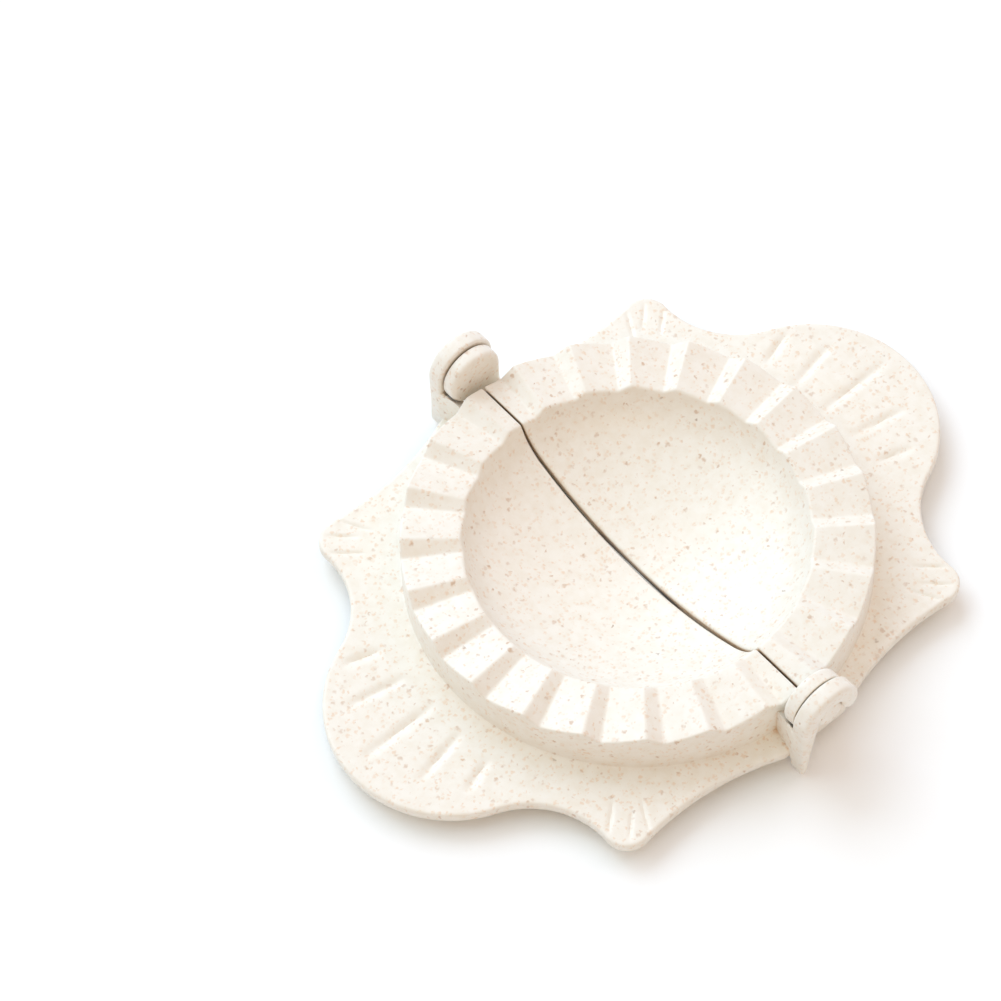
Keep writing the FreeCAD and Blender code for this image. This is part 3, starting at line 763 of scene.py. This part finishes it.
def new_group(name, inputs, outputs):
    """An empty shader node group with its sockets, and its two end nodes."""
    group = bpy.data.node_groups.new(name, "ShaderNodeTree")
    for label, kind in inputs:
        group.interface.new_socket(label, in_out="INPUT", socket_type="NodeSocket" + kind)
    for label, kind in outputs:
        group.interface.new_socket(label, in_out="OUTPUT", socket_type="NodeSocket" + kind)
    return group, group.nodes.new("NodeGroupInput"), group.nodes.new("NodeGroupOutput")


def add_node(tree, kind, links=(), **settings):
    """A node with its settings, and its inputs linked or set by name or place."""
    node = tree.nodes.new("ShaderNode" + kind)
    for label, value in settings.items():
        setattr(node, label, value)
    for label, value in dict(links).items():
        if isinstance(value, bpy.types.NodeSocket):
            tree.links.new(value, node.inputs[label])
        else:
            node.inputs[label].default_value = value
    return node


def math_node(tree, operation, *values):
    """The value that a Math node gives for one, two or three inputs."""
    return add_node(tree, "Math", enumerate(values), operation=operation).outputs[0]


def mix_colours(tree, amount, first, second, blend="MIX"):
    """The colour that a Mix node gives for an amount of the second colour on the first."""
    links = {"Factor": amount, MIX_FIRST: first, MIX_SECOND: second}
    return add_node(tree, "Mix", links, data_type="RGBA", blend_type=blend).outputs[MIX_RESULT]


def colour_ramp(tree, value, steps):
    """The colour that a Color Ramp gives for a value, with a stop at each step's place."""
    ramp = add_node(tree, "ValToRGB", {"Fac": value})
    stops = ramp.color_ramp.elements
    for place, colour in steps[1:-1]:
        stops.new(place)
    for stop, (place, colour) in zip(stops, steps):
        stop.position = place
        stop.color = colour
    return ramp.outputs[0]


def noise(tree, spot, scale, detail, **settings):
    """A Noise texture at a spot."""
    return add_node(tree, "TexNoise", {"Vector": spot, "Scale": scale, "Detail": detail, **settings})


def speck_group():
    """Soft round specks: a share of a Voronoi texture's cells holds a dot of its own size and strength."""
    group, start, end = new_group(
        "specks",
        (("Vector", "Vector"), ("Cell", "Float"), ("Share", "Float"), ("Size", "Float")),
        (("Mask", "Float"),),
    )
    scale = math_node(group, "DIVIDE", 1.0, start.outputs["Cell"])
    links = {"Vector": start.outputs["Vector"], "Scale": scale}
    cells = add_node(group, "TexVoronoi", links, voronoi_dimensions="3D")
    split = add_node(group, "SeparateColor", {"Color": cells.outputs["Color"]})
    chosen = math_node(group, "LESS_THAN", split.outputs["Red"], start.outputs["Share"])
    spread = math_node(group, "MULTIPLY_ADD", split.outputs["Green"], SPECK_MORE, SPECK_LEAST)
    radius = math_node(group, "MULTIPLY", spread, start.outputs["Size"])
    near = math_node(group, "DIVIDE", cells.outputs["Distance"], radius)
    links = {"Value": near, "From Min": SPECK_EDGE, "From Max": SPECK_CORE}
    dot = add_node(group, "MapRange", links, interpolation_type="SMOOTHSTEP").outputs[0]
    strength = math_node(group, "MULTIPLY_ADD", split.outputs["Blue"], SPECK_STRONGER, SPECK_FAINT)
    mask = math_node(group, "MULTIPLY", math_node(group, "MULTIPLY", dot, chosen), strength)
    group.links.new(mask, end.inputs["Mask"])
    return group


def speckled_colour(tree, spot):
    """Cream with faint mottling and three sizes of specks, whose outlines a noise makes ragged."""
    wander = noise(tree, spot, RAGGED_SCALE, RAGGED_DETAIL).outputs["Color"]
    links = {0: wander, 1: RAGGED_MIDDLE}
    centred = add_node(tree, "VectorMath", links, operation="SUBTRACT").outputs[0]
    links = {0: centred, 1: (RAGGED_REACH, RAGGED_REACH, RAGGED_REACH), 2: spot}
    ragged = add_node(tree, "VectorMath", links, operation="MULTIPLY_ADD").outputs[0]
    cloud = noise(tree, spot, MOTTLE_SCALE, MOTTLE_DETAIL, Roughness=MOTTLE_ROUGHNESS).outputs[0]
    colour = colour_ramp(tree, cloud, CREAM_STEPS)
    group = speck_group()
    for cell, share, size, tint, strength in SPECKS:
        links = {"Vector": ragged, "Cell": cell, "Share": share, "Size": size}
        dots = add_node(tree, "Group", links, node_tree=group).outputs["Mask"]
        colour = mix_colours(tree, math_node(tree, "MULTIPLY", dots, strength), colour, tint)
    return colour


def gap_shade(tree, spot, colour):
    """The colour, darkened to brown or black by how closed in a spot is, and less so on the hinge."""
    openness = add_node(tree, "AmbientOcclusion", {"Distance": SHADE_REACH * MM}).outputs["AO"]
    shade = colour_ramp(tree, openness, SHADE_STEPS)
    across = add_node(tree, "SeparateXYZ", {"Vector": spot}).outputs["X"]
    links = {"Value": math_node(tree, "ABSOLUTE", across), "To Min": 1.0, "To Max": SHADE_HINGE}
    links.update({"From Min": RING_RADIUS * MM, "From Max": DISC_IN * MM})
    amount = add_node(tree, "MapRange", links).outputs[0]
    return mix_colours(tree, amount, colour, shade, "MULTIPLY")


def speckled_plastic():
    """Cream plastic filled with plant fibre: speckled, shaded in its gaps, with a satin, wavy skin."""
    material = bpy.data.materials.new("speckled_plastic")
    material.use_nodes = True
    tree = material.node_tree
    shader = tree.nodes["Principled BSDF"]
    spot = add_node(tree, "TexCoord").outputs["Object"]
    colour = gap_shade(tree, spot, speckled_colour(tree, spot))
    tree.links.new(colour, shader.inputs["Base Color"])

    grain = noise(tree, spot, GRAIN_SCALE, SKIN_DETAIL).outputs[0]
    rough = add_node(tree, "MapRange", {"Value": grain, "To Min": ROUGH_LEAST, "To Max": ROUGH_MOST})
    tree.links.new(rough.outputs[0], shader.inputs["Roughness"])
    swell = noise(tree, spot, SWELL_SCALE, SKIN_DETAIL).outputs[0]
    grain = math_node(tree, "MULTIPLY", grain, 1 - SWELL_SHARE)
    height = math_node(tree, "MULTIPLY_ADD", swell, SWELL_SHARE, grain)
    bump = add_node(tree, "Bump", {"Height": height, "Strength": BUMP_STRENGTH, "Distance": BUMP_HEIGHT})
    tree.links.new(bump.outputs[0], shader.inputs["Normal"])
    return material


def add_floor():
    """A wide white surface that takes the shadows."""
    corners = np.array(((-1, -1, 0), (1, -1, 0), (1, 1, 0), (-1, 1, 0))) * FLOOR_REACH
    floor = add_object("floor", corners, [(0, 1, 2, 3)], (0,))
    material = bpy.data.materials.new("white_floor")
    material.use_nodes = True
    tree = material.node_tree
    shader = tree.nodes["Principled BSDF"]
    seen = add_node(tree, "LightPath").outputs["Is Camera Ray"]
    tree.links.new(mix_colours(tree, seen, FLOOR_COLOUR, FLOOR_SEEN), shader.inputs["Base Color"])
    shader.inputs["Roughness"].default_value = FLOOR_ROUGHNESS
    shader.inputs["Specular IOR Level"].default_value = FLOOR_SPECULAR
    floor.data.materials.append(material)


def light_scene():
    """Wide soft lamps, cool from the far end of the hinge and warm from the near one, in a warm dim surround.

    The surround shows as white to the camera and in reflections.
    """
    for name, bearing, height, energy, colour in LAMPS:
        bearing, height = math.radians(bearing), math.radians(height)
        flat = math.cos(height)
        aim = Vector((math.cos(bearing) * flat, math.sin(bearing) * flat, math.sin(height)))
        lamp = bpy.data.lights.new(name, "SUN")
        lamp.energy = energy
        lamp.color = colour
        lamp.angle = math.radians(LAMP_SPREAD)
        place = bpy.data.objects.new(name, lamp)
        place.rotation_mode = "QUATERNION"
        place.rotation_quaternion = (-aim).to_track_quat("-Z", "Y")
        bpy.context.scene.collection.objects.link(place)

    world = bpy.data.worlds.new("surround")
    bpy.context.scene.world = world
    world.use_nodes = True
    tree = world.node_tree
    path = add_node(tree, "LightPath").outputs
    seen = math_node(tree, "MAXIMUM", path["Is Camera Ray"], path["Is Glossy Ray"])
    seen = math_node(tree, "MAXIMUM", seen, path["Is Transmission Ray"])
    colour = mix_colours(tree, seen, SURROUND, SURROUND_SEEN)
    tree.links.new(colour, tree.nodes["Background"].inputs["Color"])


def add_camera():
    """The photograph's viewpoint: a long lens, from the front right and well above, turned a little."""
    azimuth, elevation, roll = np.radians(CAMERA_ANGLES)
    flat = math.cos(elevation)
    back = np.array((math.sin(azimuth) * flat, -math.cos(azimuth) * flat, math.sin(elevation)))
    right = np.array((math.cos(azimuth), math.sin(azimuth), 0.0))
    up = np.cross(back, right)
    ahead = np.cross(UP, right)
    place = back * CAMERA_DISTANCE + right * CAMERA_ALONG + ahead * CAMERA_BEYOND + UP * RIM * MM
    turned_right = math.cos(roll) * right + math.sin(roll) * up
    turned_up = -math.sin(roll) * right + math.cos(roll) * up
    data = bpy.data.cameras.new("camera")
    data.sensor_width = CAMERA_SENSOR
    data.lens = CAMERA_LENS
    data.clip_start, data.clip_end = CAMERA_CLIP
    camera = bpy.data.objects.new("camera", data)
    axes = np.stack((turned_right, turned_up, back, place), 1)
    camera.matrix_world = Matrix([*axes.tolist(), (0, 0, 0, 1)])
    bpy.context.scene.collection.objects.link(camera)
    bpy.context.scene.camera = camera


def dress(piece, half, material):
    """Gives a piece its plastic and its body, and lets it stand for the solid of that half."""
    piece.data.materials.append(material)
    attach(piece, half)
    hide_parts(half)


plastic = speckled_plastic()
dress(add_shell("hook_half_shell", VEIN_SHIFT, True), "hook_half", plastic)
dress(add_shell("pin_half_shell", -VEIN_SHIFT, False), "pin_half", plastic)
for side, end in ((-1, "left"), (1, "right")):
    dress(add_hook("hook_" + end, -side), "hook_half", plastic)
    dress(add_gusset("hook_gusset_" + end, -side), "hook_half", plastic)
    dress(add_disc("pin_" + end, side), "pin_half", plastic)
    dress(add_tongue("pin_tongue_" + end, side), "pin_half", plastic)
    dress(add_web("pin_web_" + end, side), "pin_half", plastic)

add_floor()
light_scene()
add_camera()
bpy.context.scene.view_settings.view_transform = "Standard"
